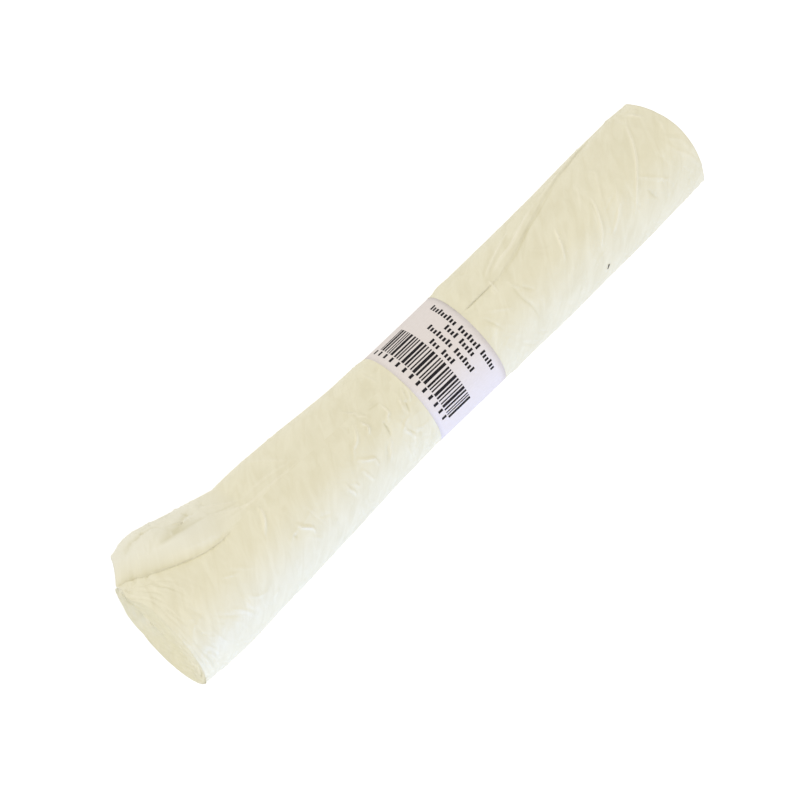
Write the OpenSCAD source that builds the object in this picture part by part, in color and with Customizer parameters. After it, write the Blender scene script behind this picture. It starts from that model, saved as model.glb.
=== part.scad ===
// Roll of thin white bin bags, held by a paper band and lying on its side.
// One web of flattened bags, folded once across, is wound on itself without a core.
// X runs along the roll, from the loose end at -X to the firm end at +X. Z is up.
// The origin lies on the flat underside, below the axis and halfway along the roll.

/* [Roll] */
// Length of the roll, half the width of one bag
roll_len = 290; // [230:5:360]
// Diameter where the roll is still wound firmly
firm_d = 44.4; // [36:0.2:56]
// Growth of the radius where the turns have loosened
flare = 3.9; // [0:0.1:8]
// Length of the loosened part, from the loose end
flare_len = 140; // [100:1:140]
// Length at the loose end that has the full flare
flare_full = 55; // [30:1:70]
// Rounding of the radius at both ends
end_ease = 0.5; // [0:0.1:2]
// Depth by which the soft underside is pressed flat
flat_depth = 1.1; // [0.6:0.1:2.5]
// Sideways bow of the axis, halfway along
bow = 1.2; // [0:0.1:4]
// Sideways sag of the turns at the loose end
loose_sag = 2.7; // [0:0.1:5]
// Sideways lean of the firm end, to the other side
firm_lean = 1; // [0:0.1:4]
// Slant of the firm end's face: how far its side at -Y stands out
firm_slant = 0.8; // [0:0.1:3]

/* [Outer ply] */
// Height of the ply's free edge above the ply under it
tail_step = 0.6; // [0.3:0.1:1.5]
// Height of the free edge where the band presses it down
tail_pressed = 0.15; // [0.1:0.05:0.3]
// Angle of the free edge from the top, along the middle of the roll
tail_angle = 23; // [0:1:45]
// Turn of the free edge towards the side, at the loose end
tail_turn_loose = 57; // [0:1:60]
// Turn of the free edge towards the side, at the firm end
tail_turn_firm = 76; // [0:2:80]
// Length of the hood, the puffed corner of the ply at the loose end
hood_len = 55; // [40:1:70]
// Height of the hood above the turns inside it
hood_out = 11; // [0:0.5:14]
// Angle round the roll that the hood covers, from the free edge
hood_span = 104; // [70:2:120]
// Distance by which the hood's mouth is drawn back along the roll
hood_pull = 9.5; // [0:0.5:12]

/* [Wound ends] */
// Number of turns shown on each end face
turns = 9; // [5:1:9]
// Depth of the groove between two turns, as a share of the gap between them
groove_share = 0.7; // [0.3:0.05:1]
// Unevenness of the turns
turn_wobble = 0.25; // [0:0.05:0.35]
// Recess of the inner turns at the loose end
loose_dish = 4; // [0:0.5:8]
// Recess of the inner turns at the firm end
firm_dish = 2.5; // [0:0.5:8]
// Half width of the flattened eye at the loose end
loose_eye_w = 9; // [6:0.5:10]
// Half width of the flattened eye at the firm end
firm_eye_w = 6; // [5:0.5:8]
// Half height of the flattened eye at both ends
eye_h = 3.2; // [2:0.1:5]
// Depth of the eye
eye_depth = 14; // [6:1:30]
// Sideways place of the eye at the loose end, towards the side that sags
loose_eye_shift = 8; // [0:0.5:9]
// Tilt of the flattened eye
eye_tilt = 18; // [0:1:45]

/* [Paper band] */
// Width of the band along the roll
band_w = 36.5; // [20:1:50]
// Distance of the band's middle from the middle of the roll, towards the firm end
band_x = 10.2; // [0:0.1:40]
// Thickness of the paper
paper_t = 0.12; // [0.08:0.02:0.3]
// Air between the paper and the film
band_gap = 0.12; // [0.08:0.02:0.4]
// Depth by which the band squeezes the roll
band_bite = 0.4; // [0:0.05:1.5]
// Length over which the film eases down to the band
seat_ramp = 6; // [3:0.5:12]
// Length of the glued overlap of the band's ends
glue_lap = 14; // [8:1:25]

/* [Hidden] */
film_colour = [0.90, 0.885, 0.80];
paper_colour = [0.89, 0.87, 0.88];

// Segments in one turn of the roll, in the band and in the band's glued overlap
turn_segs = 56;
band_segs = 66;
glue_segs = 6;

// Places along X
loose_x = -roll_len / 2;
firm_x = roll_len / 2;
hood_x = loose_x + hood_len;
band_lo = band_x - band_w / 2;
band_hi = band_x + band_w / 2;
// The film's seat reaches a little past the band's edges
seat_margin = 0.5;
seat_lo = band_lo - seat_margin;
seat_hi = band_hi + seat_margin;
// Length over which the radius eases at an end, and lengths over which the free edge turns aside
ease_len = 12;
turn_len_loose = 42;
turn_len_firm = 105;
// Where the sag of the loose end and the lean of the firm end begin, from the ends
sag_len = 75;
sag_full = 15;
lean_len = 105;
// The hood reaches its full height at this share of its length
hood_peak = 0.8;
// The hood's height leans towards the free edge by this power
hood_lean = 0.6;
// The slant of the firm end fades along the roll by this power
slant_fade = 6;
// Waves of unevenness in one turn
wobble_waves = 1.37;
// Angle from the top where the band's glued overlap begins, and the slope of its ledges
glue_angle = 112;
ledge = 0.4;
// The eye's floor is smaller than its mouth by this share
eye_taper = 0.45;
// Height of the eye below the axis
eye_drop = 4;

// Smooth rise from 0 to 1 as t goes from 0 to 1
function ease(t) = let (u = max(0, min(1, t))) u * u * (3 - 2 * u);

// How far the band's squeeze reaches, from 1 on its seat to 0 away from it
function squeeze(x) = 1 - ease(max(seat_lo - x, x - seat_hi) / seat_ramp);

// Radius of the roll with nothing squeezing it
function free_radius(x) =
    firm_d / 2 + flare * ease((loose_x + flare_len - x) / (flare_len - flare_full));

// Radius of the ply under the outer one
function radius(x) =
    free_radius(x)
    - end_ease * (1 - ease(min(x - loose_x, firm_x - x) / ease_len))
    - band_bite * squeeze(x);

// Height and sideways place of the axis
function axis_z(x) = free_radius(x) - flat_depth;
function axis_y(x) =
    -bow * (1 - pow(2 * x / roll_len, 2))
    - loose_sag * ease((loose_x + sag_len - x) / (sag_len - sag_full))
    + firm_lean * ease((x - firm_x + lean_len) / lean_len);

// Lowest height that the film reaches, which leaves room for the paper below it
function film_floor(x) = (paper_t + band_gap) * squeeze(x);

// Angle of the outer ply's free edge from the top, towards +Y
function tail_at(x) =
    tail_angle
    + tail_turn_loose * pow(max(0, (loose_x - x) / turn_len_loose + 1), 2)
    + tail_turn_firm * max(0, (x - firm_x) / turn_len_firm + 1);

// Height of the free edge above the ply under it
function step_at(x) = tail_step - (tail_step - tail_pressed) * squeeze(x);

// Share of the hood's height along the roll, and round it from the free edge
function hood_along(x) =
    let (v = max(0, (hood_x - x) / hood_len)) sin(90 * min(1, v / hood_peak));
function hood_round(turned) =
    turned <= 0 || turned >= hood_span ? 0 : sin(180 * pow(turned / hood_span, hood_lean));

// Point of a round section at x, with the given radius and angle from the top
function section_point(x, r, angle, floor_z) =
    [
        x - firm_slant * pow(max(0, 2 * x / roll_len), slant_fade) * sin(angle),
        axis_y(x) + r * sin(angle),
        max(floor_z, axis_z(x) + r * cos(angle))
    ];

// Point of the ply under the outer one
function inner_point(x, angle) = section_point(x, radius(x), angle, film_floor(x));

// Point of the outer ply, turned round the roll from its free edge
function outer_point(x, turned) =
    let (
        puff = hood_along(x) * hood_round(turned),
        lift = step_at(x) * (1 - turned / 360) + hood_out * puff,
        fade = pow(max(0, (hood_x - x) / hood_len), 2),
        p = section_point(x, radius(x) + lift, tail_at(x) + turned, film_floor(x))
    )
    p + [hood_pull * fade * hood_round(turned), 0, 0];

// Sections along the roll, closer together where the form changes quickly
function span(a, b, n) = [for (k = [0 : n - 1]) a + (b - a) * k / n];
stations = concat(
    span(loose_x, hood_x, 12),
    span(hood_x, seat_lo - seat_ramp, 7),
    span(seat_lo - seat_ramp, seat_lo, 3),
    span(seat_lo, seat_hi, 2),
    span(seat_hi, seat_hi + seat_ramp, 3),
    span(seat_hi + seat_ramp, firm_x - ease_len, 9),
    span(firm_x - ease_len, firm_x, 4),
    [firm_x]
);

// The film's points: one ring of the outer ply for each section
ring_size = turn_segs + 1;
rings = [for (x = stations) for (j = [0 : turn_segs]) outer_point(x, 360 * j / turn_segs)];

// The spiral on an end face, as crests that wind inwards from the outer ply to the eye
crest_count = turns * turn_segs;
function eye_point(x, half_w, shift, angle) =
    let (u = half_w * sin(angle - eye_tilt), v = eye_h * cos(angle - eye_tilt))
    [
        x,
        axis_y(x) - shift + u * cos(eye_tilt) + v * sin(eye_tilt),
        axis_z(x) - eye_drop - u * sin(eye_tilt) + v * cos(eye_tilt)
    ];
function crest(x, inward, dish, half_w, shift, m) =
    m <= turn_segs ? outer_point(x, 360 * m / turn_segs) :
    let (
        w = (m - turn_segs) / (crest_count - turn_segs),
        angle = tail_at(x) + 360 * m / turn_segs,
        wobble = turn_wobble * sin(360 * wobble_waves * m / turn_segs) * sin(180 * w),
        p = (1 - w) * inner_point(x, angle) + w * eye_point(x, half_w, shift, angle)
    )
    p + [inward * dish * w, wobble * sin(angle), wobble * cos(angle)];

// All points that an end face adds: crests after the outer ply, valleys, eye floor and its middle
function end_points(x, inward, dish, half_w, shift) =
    let (
        crests = [for (m = [0 : crest_count]) crest(x, inward, dish, half_w, shift, m)],
        valleys = [
            for (m = [0 : crest_count - turn_segs])
                let (a = crests[m], b = crests[m + turn_segs])
                (a + b) / 2 + [inward * groove_share * norm(b - a), 0, 0]
        ],
        sunk = [inward * eye_depth, 0, 0],
        middle = eye_point(x, 0, shift, 0),
        eye_floor = [
            for (j = [0 : turn_segs - 1])
                let (edge = crests[crest_count - turn_segs + j])
                edge + (1 - eye_taper) * [0, middle.y - edge.y, middle.z - edge.z] + sunk
        ],
        centre = middle + [inward * (dish + eye_depth), 0, 0]
    )
    concat([for (m = [ring_size : crest_count]) crests[m]], valleys, eye_floor, [centre]);

// Faces of an end whose outer ply starts at ring_at and whose own points start at own_at
function end_faces(ring_at, own_at) =
    let (
        valley_at = own_at + crest_count - turn_segs,
        last = crest_count - turn_segs,
        floor_at = valley_at + last + 1,
        centre = floor_at + turn_segs,
        c = function(m) m <= turn_segs ? ring_at + m : own_at + m - ring_size,
        v = function(m) valley_at + m,
        e = function(j) floor_at + j % turn_segs
    )
    concat(
        [for (m = [0 : last - 1]) each [
            [c(m + 1), c(m), v(m)],
            [c(m + 1), v(m), v(m + 1)],
            [v(m + 1), v(m), c(m + turn_segs)],
            [v(m + 1), c(m + turn_segs), c(m + turn_segs + 1)]
        ]],
        [[c(0), c(turn_segs), v(0)]],
        [for (j = [0 : turn_segs - 1]) each [
            [c(last + j + 1), c(last + j), e(j)],
            [c(last + j + 1), e(j), e(j + 1)],
            [e(j + 1), e(j), centre]
        ]],
        [[c(last), v(last), e(0)], [v(last), c(crest_count), e(0)]]
    );

function flipped(faces) = [for (f = faces) [f[0], f[2], f[1]]];

// Wall of quads from each ring to the next, and from the last to the first if it is closed
function wall_faces(ring_count, size, closed = false) = [
    for (i = [0 : ring_count - (closed ? 1 : 2)]) for (j = [0 : size - 1])
        let (
            next = (i + 1) % ring_count * size,
            a = i * size + j,
            b = i * size + (j + 1) % size,
            c = next + (j + 1) % size,
            d = next + j
        )
        each [[a, b, c], [a, c, d]]
];

// The web of bags, wound into one roll
module bag_roll() {
    loose_own = end_points(loose_x, 1, loose_dish, loose_eye_w, loose_eye_shift);
    firm_own = end_points(firm_x, -1, firm_dish, firm_eye_w, 0);
    loose_at = len(rings);
    firm_at = loose_at + len(loose_own);
    color(film_colour)
        polyhedron(
            points = concat(rings, loose_own, firm_own),
            faces = concat(
                wall_faces(len(stations), ring_size),
                end_faces(0, loose_at),
                flipped(end_faces(loose_at - ring_size, firm_at))
            )
        );
}

// The band's corners round the roll, each with its angle from the top and its layers of paper
glue_turn = glue_lap / (firm_d / 2) * 180 / PI;
band_corners = concat(
    [for (k = [0 : glue_segs]) [glue_angle + glue_turn * k / glue_segs, 2]],
    [
        for (k = [0 : band_segs])
            let (from = glue_angle + glue_turn + ledge, to = glue_angle + 360 - ledge)
            [from + (to - from) * k / band_segs, 1]
    ]
);

// Ring of the band's outside, or of its inside where inside is 1
function band_ring(x, inside) = [
    for (corner = band_corners)
        let (
            inner_r = radius(x) + tail_pressed + band_gap,
            lift = inside == 1 ? 0 : corner[1] * paper_t
        )
        section_point(x, inner_r + lift, corner[0], inside * paper_t)
];

// The paper strip, closed round the roll with its ends glued over each other
module paper_band() {
    across = [band_lo, band_x, band_hi];
    back = [band_hi, band_x, band_lo];
    color(paper_colour)
        polyhedron(
            points = concat(
                [for (x = across) each band_ring(x, 0)],
                [for (x = back) each band_ring(x, 1)]
            ),
            faces = wall_faces(len(across) + len(back), len(band_corners), closed = true)
        );
}

bag_roll();
paper_band();
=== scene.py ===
"""Looks of a roll of thin white bin bags, held by a printed paper band and lying on its side."""
import math

import bpy
import numpy as np
from mathutils import Matrix, Vector


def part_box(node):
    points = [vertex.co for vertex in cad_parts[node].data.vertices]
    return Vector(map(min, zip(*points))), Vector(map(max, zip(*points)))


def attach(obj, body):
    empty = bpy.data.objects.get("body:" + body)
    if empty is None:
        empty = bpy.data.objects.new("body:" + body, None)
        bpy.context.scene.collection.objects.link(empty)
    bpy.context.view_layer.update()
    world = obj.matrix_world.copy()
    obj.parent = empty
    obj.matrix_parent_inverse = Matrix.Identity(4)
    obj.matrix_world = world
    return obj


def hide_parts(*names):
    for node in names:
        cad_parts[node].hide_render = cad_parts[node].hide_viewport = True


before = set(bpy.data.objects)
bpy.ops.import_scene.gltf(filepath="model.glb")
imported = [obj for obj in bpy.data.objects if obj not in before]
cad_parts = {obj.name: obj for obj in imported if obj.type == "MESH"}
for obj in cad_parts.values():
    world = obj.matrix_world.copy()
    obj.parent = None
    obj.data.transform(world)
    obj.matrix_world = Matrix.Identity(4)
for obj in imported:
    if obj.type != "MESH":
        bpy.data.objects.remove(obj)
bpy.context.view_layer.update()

# The roll's form is worked out in millimetres, as in the part's source, and written in metres.
MM = 0.001
BAND_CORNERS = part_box("paper_band")
BAND_LO = BAND_CORNERS[0].x / MM
BAND_HI = BAND_CORNERS[1].x / MM
ROLL_LEN = 290.0
FIRM_RADIUS = 22.2
FLARE, FLARE_LEN, FLARE_FULL = 3.9, 140.0, 55.0
END_EASE, EASE_LEN = 0.5, 12.0
FLAT_DEPTH = 1.1
BOW, FIRM_SLANT, SLANT_FADE = 1.2, 0.8, 6
FIRM_BULGE, FIRM_HOLLOW = 6.7, 5.1
LOOSE_SAG, SAG_LEN, SAG_FULL = 2.7, 75.0, 15.0
FIRM_LEAN, LEAN_LEN = 1.0, 105.0
PAPER_T, BAND_GAP, BAND_BITE, SEAT_RAMP, SEAT_MARGIN = 0.12, 0.12, 0.4, 6.0, 0.5
HUG_H, HUG_LEN = 0.36, 2.5
SMOOTH_RAMP = 2.2
TAIL_STEP, TAIL_PRESSED, TAIL_ANGLE = 0.6, 0.15, 23.0
TAIL_TURN_LOOSE, TURN_LEN_LOOSE = 57.0, 42.0
TAIL_TURN_FIRM, TURN_LEN_FIRM = 76.0, 105.0
# Degrees by which handling has pulled the free edge back at places along the firm part
PULLED_X, PULLED_BACK = (40, 50, 60, 75, 98), (0.0, 7.3, 7.3, 4.8, 0.0)
HOOD_LEN, HOOD_OUT, HOOD_SPAN, HOOD_PULL = 55.0, 11.0, 104.0, 9.5
HOOD_PEAK, HOOD_LEAN = 0.8, 0.6
LOOSE_X, FIRM_X = -ROLL_LEN / 2, ROLL_LEN / 2
# The loose end's rim stands out in one place, beside the hood: by how much, and its angle and spread
CORNER_OUT, CORNER_AT, CORNER_SPREAD = 2.6, 48, 14
HOOD_X = LOOSE_X + HOOD_LEN
SEAT_LO, SEAT_HI = BAND_LO - SEAT_MARGIN, BAND_HI + SEAT_MARGIN

# Thickness of the film where its edge shows, which is several plies of bag
PLY_T = 0.22
# Depth of the turns inside the outer ply under its outside, where the hood's pocket opens
INNER_DEPTH = 0.35
# Degrees over which the pocket closes past the hood, and over which the pull on its mouth fades
CLOSE_SPAN, PULL_SPAN = 16, 45
# The outer ply's free edge at places along the roll: width of the slope below it, in degrees, share
# of its height that still stands up, and depth of the gap at its foot
EDGE_X = (-145, -136, -112, -103, -92, -70, -30, -9, 29, 33, 42, 50, 90, 99, 114, 124, 145)
EDGE_SLOPE = (0.0, 0.2, 0.6, 1.0, 3.0, 5.0, 5.0, 4.0, 0.5, 0.3, 0.4, 1.4, 1.4, 0.6, 0.6, 2.0, 2.0)
EDGE_STANDS = (1.0, 1.0, 1.0, 0.9, 0.45, 0.25, 0.25, 0.4, 1.0, 1.2, 1.0, 0.9, 0.8, 1.0, 1.0, 0.6, 0.6)
EDGE_GAP = (1.2, 0.65, 0.35, 0.15, 0.0, 0.0, 0.0, 0.0, 0.1, 0.5, 0.4, 0.1, 0.1, 0.3, 0.25, 0.0, 0.0)
EDGE_GAP_WIDTH = 0.45
# Height of the creases in the film, as a share of the strength that they are listed with
CREASE_SHARE = 1.35
# Share of their height that they lose under the band
SMOOTHED = 0.85
# Seed of every random draw
SEED = 7


# Form of the roll: x runs along it, and angles run from the top towards +Y

def ease(t):
    """Smooth rise from 0 to 1 as t goes from 0 to 1."""
    u = np.clip(t, 0.0, 1.0)
    return u * u * (3 - 2 * u)


def squeeze(x):
    """How far the band squeezes the roll: 1 on its seat, 0 away from it."""
    return 1 - ease(np.maximum(SEAT_LO - x, x - SEAT_HI) / SEAT_RAMP)


def free_radius(x):
    """Radius of the roll where nothing squeezes it and its ends aren't rounded."""
    return FIRM_RADIUS + FLARE * ease((LOOSE_X + FLARE_LEN - x) / (FLARE_LEN - FLARE_FULL))


def radius(x):
    """Radius of the ply under the outer one."""
    to_end = np.minimum(x - LOOSE_X, FIRM_X - x)
    return free_radius(x) - END_EASE * (1 - ease(to_end / EASE_LEN)) - BAND_BITE * squeeze(x)


def axis_y(x):
    """Sideways place of the axis, which sags, leans and bows."""
    sag = LOOSE_SAG * ease((LOOSE_X + SAG_LEN - x) / (SAG_LEN - SAG_FULL))
    lean = FIRM_LEAN * ease((x - FIRM_X + LEAN_LEN) / LEAN_LEN)
    return lean - sag - BOW * (1 - (2 * x / ROLL_LEN) ** 2)


def axis_z(x):
    """Height of the axis, at which the flat spot lies on the floor."""
    return free_radius(x) - FLAT_DEPTH


def hug(x):
    """How far the film rises against the edges of the band, where it meets the paper's face."""
    past = np.maximum(BAND_LO - x, x - BAND_HI)
    return HUG_H * ease((past - 0.01) / 0.03) * np.exp(-np.maximum(past, 0) / HUG_LEN)


def covered(x):
    """1 where the band lies on the film and keeps it smooth, 0 a little way past its edges."""
    return 1 - ease(np.maximum(BAND_LO - x, x - BAND_HI) / SMOOTH_RAMP)


def film_floor(x):
    """Lowest height of the film, which leaves room for the paper under it."""
    return (PAPER_T + BAND_GAP) * squeeze(x)


def tail_at(x):
    """Angle of the outer ply's free edge."""
    loose = TAIL_TURN_LOOSE * np.maximum(0, (LOOSE_X - x) / TURN_LEN_LOOSE + 1) ** 2
    firm = TAIL_TURN_FIRM * np.maximum(0, (x - FIRM_X) / TURN_LEN_FIRM + 1)
    return TAIL_ANGLE + loose + firm - np.interp(x, PULLED_X, PULLED_BACK)


def hood_along(x):
    """Rise of the hood along the roll: 0 at its root, 1 towards its mouth."""
    v = np.maximum(0, (HOOD_X - x) / HOOD_LEN)
    return np.sin(math.pi / 2 * np.minimum(1, v / HOOD_PEAK))


def hood_round(turned):
    """Rise of the hood round the roll, over its span from the free edge."""
    share = np.clip(turned / HOOD_SPAN, 0, 1)
    return np.sin(math.pi * share ** HOOD_LEAN)


def section_point(x, r, angle, floor_z):
    """Points on a round section that is pressed flat below."""
    a = np.radians(angle)
    near_end = np.maximum(0, 2 * x / ROLL_LEN) ** SLANT_FADE
    level = np.cos(a)
    bulge = np.where(level > 0, FIRM_BULGE, -FIRM_HOLLOW) * level ** 2 - FIRM_HOLLOW * level
    push = (bulge - FIRM_SLANT * np.sin(a)) * near_end
    near_loose = np.maximum(0, -2 * x / ROLL_LEN) ** SLANT_FADE
    off = (angle + 180) % 360 - 180 - CORNER_AT
    push = push - CORNER_OUT * np.exp(-(off / CORNER_SPREAD) ** 2) * near_loose
    y = axis_y(x) + r * np.sin(a)
    z = np.maximum(floor_z, axis_z(x) + r * np.cos(a))
    return np.stack([x + push, y, z], axis=-1)


# Wrinkles of the film. Each crease is (height, half width, points of (x, angle)).
# A height below zero is a valley.
CREASES = [
    (0.30, 0.70, [(100, 41), (99, 31), (96, 20), (92, 8)]),
    (0.30, 0.90, [(105, 44), (109, 32), (107, 22), (104, 11), (102, 2)]),
    (0.60, 0.60, [(100, 18), (99, 7), (97, -4), (95, -14), (93, -22), (89, -33)]),
    (0.62, 0.55, [(81, 20), (79, 9), (77, -1), (74, -14)]),
    (0.58, 0.58, [(139, 61), (132, 38), (128, 22), (124, 9), (118, -7), (113, -21), (109, -34)]),
    (0.35, 0.80, [(139, 56), (140, 38)]),
    (0.20, 0.80, [(110, -1), (108, -10), (101, -24), (98, -30)]),
    (0.18, 0.80, [(143, 21), (140, 10)]),
    (0.20, 0.90, [(137, 1), (138, -12), (142, -32), (144, -43)]),
    (0.22, 0.65, [(119, -4), (121, -9), (125, -20), (129, -31), (131, -37)]),
    (0.32, 0.45, [(98, 11), (97, 4), (96, -1), (94, -10)]),
    (0.32, 0.60, [(112, 9), (108, -3), (105, -14), (100, -24), (95, -32)]),
    (0.36, 0.70, [(136.5, 61), (138, 56), (139, 49), (140, 40), (141, 35)]),
    (0.22, 0.70, [(142.6, 29), (142.2, 23), (141.4, 15), (139, 6)]),
    (-0.28, 0.80, [(119, -20), (121, -39)]),
    (-0.26, 0.75, [(52, 13), (51, 0), (51, -11), (52, -21), (52, -31), (52, -43)]),
    (-0.22, 0.60, [(53, 2), (57, -13)]),
    (0.30, 0.70, [(45, 23), (44, 11)]),
    (-0.22, 0.60, [(33, 4), (35, -7), (37, -21)]),
    (0.18, 0.60, [(35, 9), (46, -11)]),
    (0.44, 0.48, [(-35, 36), (-33, 28), (-31, 23), (-29, 16), (-29, 10)]),
    (0.70, 0.50, [(-32, 17), (-32, 11), (-31, 5), (-32, 1), (-33, -2)]),
    (0.56, 0.50, [(-34, 20), (-35, 15), (-36, 9), (-38, 3), (-40, 0), (-42, -2), (-44, -9)]),
    (-0.30, 0.50, [(-37, 23), (-38, 18), (-39, 13)]),
    (0.62, 0.50, [(-21, 15), (-21, 8), (-21, 1), (-22.6, -2), (-22.6, -7)]),
    (-0.46, 0.50, [(-25, -2), (-25.4, -6), (-25.8, -12), (-26.6, -18)]),
    (0.64, 0.48, [(-8.8, 12), (-8.9, 7), (-9.2, 2), (-10.3, -3), (-11, -7)]),
    (0.46, 0.45, [(-10, 10), (-10.6, 7), (-11.8, 0), (-13, -5)]),
    (0.42, 0.45, [(-14, 3), (-14.6, 0), (-15.4, -5), (-16, -9)]),
    (-0.38, 0.45, [(-12.6, -2), (-13, -5), (-13.8, -10), (-14.2, -14)]),
    (0.30, 0.50, [(-15.4, 58), (-15.8, 48), (-15.4, 37), (-15.4, 28)]),
    (0.25, 0.60, [(-13, 14), (-14, 1), (-16, -14)]),
    (0.44, 0.60, [(-44, -11), (-41, -18), (-38, -23), (-38, -27), (-38, -32)]),
    (0.32, 0.60, [(-45, -21), (-44, -31), (-43, -41)]),
    (0.38, 0.60, [(-54, -18), (-54, -26), (-53, -33), (-53, -38)]),
    (0.34, 0.50, [(-51, -25), (-50, -34)]),
    (-0.20, 0.70, [(-29, -18), (-35, -39)]),
    (0.44, 0.55, [(-27, -16), (-30, -29), (-33, -40)]),
    (0.42, 0.55, [(-20, -12), (-20, -26), (-18.6, -36), (-20, -46)]),
    (0.22, 0.80, [(-23, -32), (-24, -48), (-24, -63)]),
    (-0.30, 0.80, [(-27, 20), (-24, 19), (-20, 17)]),
    (0.32, 0.55, [(-102, 29), (-97, 28), (-88, 27), (-77, 26), (-69, 25), (-58, 24)]),
    (0.26, 0.60, [(-91, 35), (-79, 35), (-69, 32), (-62, 28)]),
    (0.75, 0.62, [(-86, 21), (-87, 13), (-89, 6), (-93, -2)]),
    (0.60, 0.55, [(-80, -14), (-79, -21), (-76, -28), (-76, -34)]),
    (-0.30, 0.60, [(-84, -20), (-83, -24)]),
    (0.22, 0.80, [(-75, 68), (-71, 55), (-66, 37), (-60, 25)]),
    (0.22, 0.80, [(-115, -22), (-115, -34), (-114, -42)]),
    (0.20, 0.80, [(-105, -52), (-101, -47)]),
    (0.62, 0.95, [(48, 28), (52, 32), (57, 36), (63, 38), (67, 42), (72, 47), (78, 53), (85, 60)]),
    (0.50, 0.75, [(44, 29), (51, 38), (58, 46), (64, 53), (69, 59)]),
    (-0.32, 0.90, [(50, 20), (57, 26), (63, 30), (69, 36), (75, 42), (82, 47), (89, 54), (100, 64)]),
    (0.55, 0.60, [(46, 28), (46, 21), (45.2, 12)]),
    (0.28, 0.50, [(51, 17), (51.8, 7), (53.6, -2)]),
    (0.35, 0.90, [(84, 56), (92, 62), (103, 70), (114, 82)]),
    (-0.18, 2.60, [(-123, 60), (-117, 55), (-111, 54), (-103, 56)]),
    (-0.14, 2.00, [(-141, 78), (-135, 72), (-128, 67)]),
    (-0.70, 3.20, [(-125, 62), (-119, 58), (-112, 55), (-104, 54)]),
    (-0.32, 0.90, [(-129, 52), (-126, 51), (-123, 49), (-119, 47), (-115, 45), (-111, 44), (-105, 43)]),
    (-0.26, 1.80, [(-126, 53), (-121, 51), (-116, 49), (-111, 49), (-104, 49)]),
    (0.13, 0.80, [(-134, 53), (-127, 43), (-120, 35), (-114, 30), (-108, 27), (-102, 25)]),
    (-0.12, 0.60, [(-144.5, 75), (-138, 61), (-132, 48.6), (-126, 39), (-120, 31),
                   (-114, 25.5), (-107, 22), (-98, 21)]),
    (-0.24, 0.60, [(-112, 44), (-107, 43), (-103, 42), (-100, 40), (-94, 38), (-87, 36)]),
    (-0.30, 0.70, [(-141, 79), (-137, 75), (-134, 71), (-130, 68), (-127, 66), (-123, 63), (-121, 57)]),
    (-0.16, 1.00, [(-106, 62), (-107, 59), (-110, 56), (-115, 50), (-120, 47)]),
    (-0.10, 0.70, [(-119, 59), (-120, 54), (-119, 50), (-116, 49), (-112, 51)]),
    (0.26, 0.90, [(-121, 62), (-118, 60), (-115, 58), (-110, 59)]),
    (0.20, 0.70, [(-113, 50), (-109, 51), (-105, 49), (-101, 50)]),
    (-0.16, 0.60, [(-103, 68), (-102, 58), (-103, 48), (-102, 41)]),
    (-0.14, 0.90, [(-131, 53), (-128, 55), (-125, 57), (-122, 58)]),
    (0.32, 0.50, [(-104, 54), (-97, 46), (-93, 41), (-86, 33)]),
    (0.32, 0.50, [(-106, 44), (-99, 38), (-93, 32), (-87, 26)]),
    (0.24, 0.55, [(-106, 36), (-98, 33), (-91, 30), (-85, 25)]),
    (-0.18, 0.50, [(-143.6, -24), (-143.4, -42), (-143.2, -60), (-143.6, -78)]),
    (0.30, 0.50, [(-142.2, -18), (-142, -38), (-141.4, -56), (-141.8, -76)]),
    (-0.28, 0.50, [(-140.6, -40), (-140, -54), (-140.4, -70)]),
    (0.24, 0.55, [(-138.6, -44), (-138.2, -58), (-138.8, -72)]),
]


def smooth_path(points, steps=10):
    """Catmull-Rom curve through the points."""
    p = np.array(points, float)
    p = np.vstack([2 * p[0] - p[1], p, 2 * p[-1] - p[-2]])
    t = np.linspace(0, 1, steps, endpoint=False)[:, None]
    parts = []
    for a, b, c, d in zip(p, p[1:], p[2:], p[3:]):
        parts.append(0.5 * (2 * b + (c - a) * t + (2 * a - 5 * b + 4 * c - d) * t ** 2
                            + (3 * b - a - 3 * c + d) * t ** 3))
    return np.vstack(parts + [p[-2:-1]])


def unroll(x, angle):
    """Distances on the unrolled film: along the roll and round it."""
    return x, np.radians(angle) * FIRM_RADIUS


def add_crease(relief, u, v, height, half_width, path):
    """Adds one crease, whose path is in unrolled millimetres, to the relief at (u, v)."""
    reach = 4 * half_width
    near = ((u > path[:, 0].min() - reach) & (u < path[:, 0].max() + reach)
            & (v > path[:, 1].min() - reach) & (v < path[:, 1].max() + reach))
    if not near.any():
        return
    p = np.stack([u[near], v[near]], axis=-1)
    best = np.full(len(p), 1e9)
    along = np.zeros(len(p))
    count = len(path) - 1
    for i in range(count):
        a, d = path[i], path[i + 1] - path[i]
        t = np.clip(((p - a) @ d) / max(d @ d, 1e-9), 0, 1)
        dist = np.hypot(*(p - a - t[:, None] * d).T)
        closer = dist < best
        best[closer] = dist[closer]
        along[closer] = (i + t[closer]) / count
    taper = np.clip(1 - np.abs(2 * along - 1) ** 2.6, 0, 1)
    ridge = 1.2 * np.exp(-(best / half_width) ** 1.5) - 0.2 * np.exp(-(best / (2.2 * half_width)) ** 2)
    relief[near] += height * taper * ridge


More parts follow.
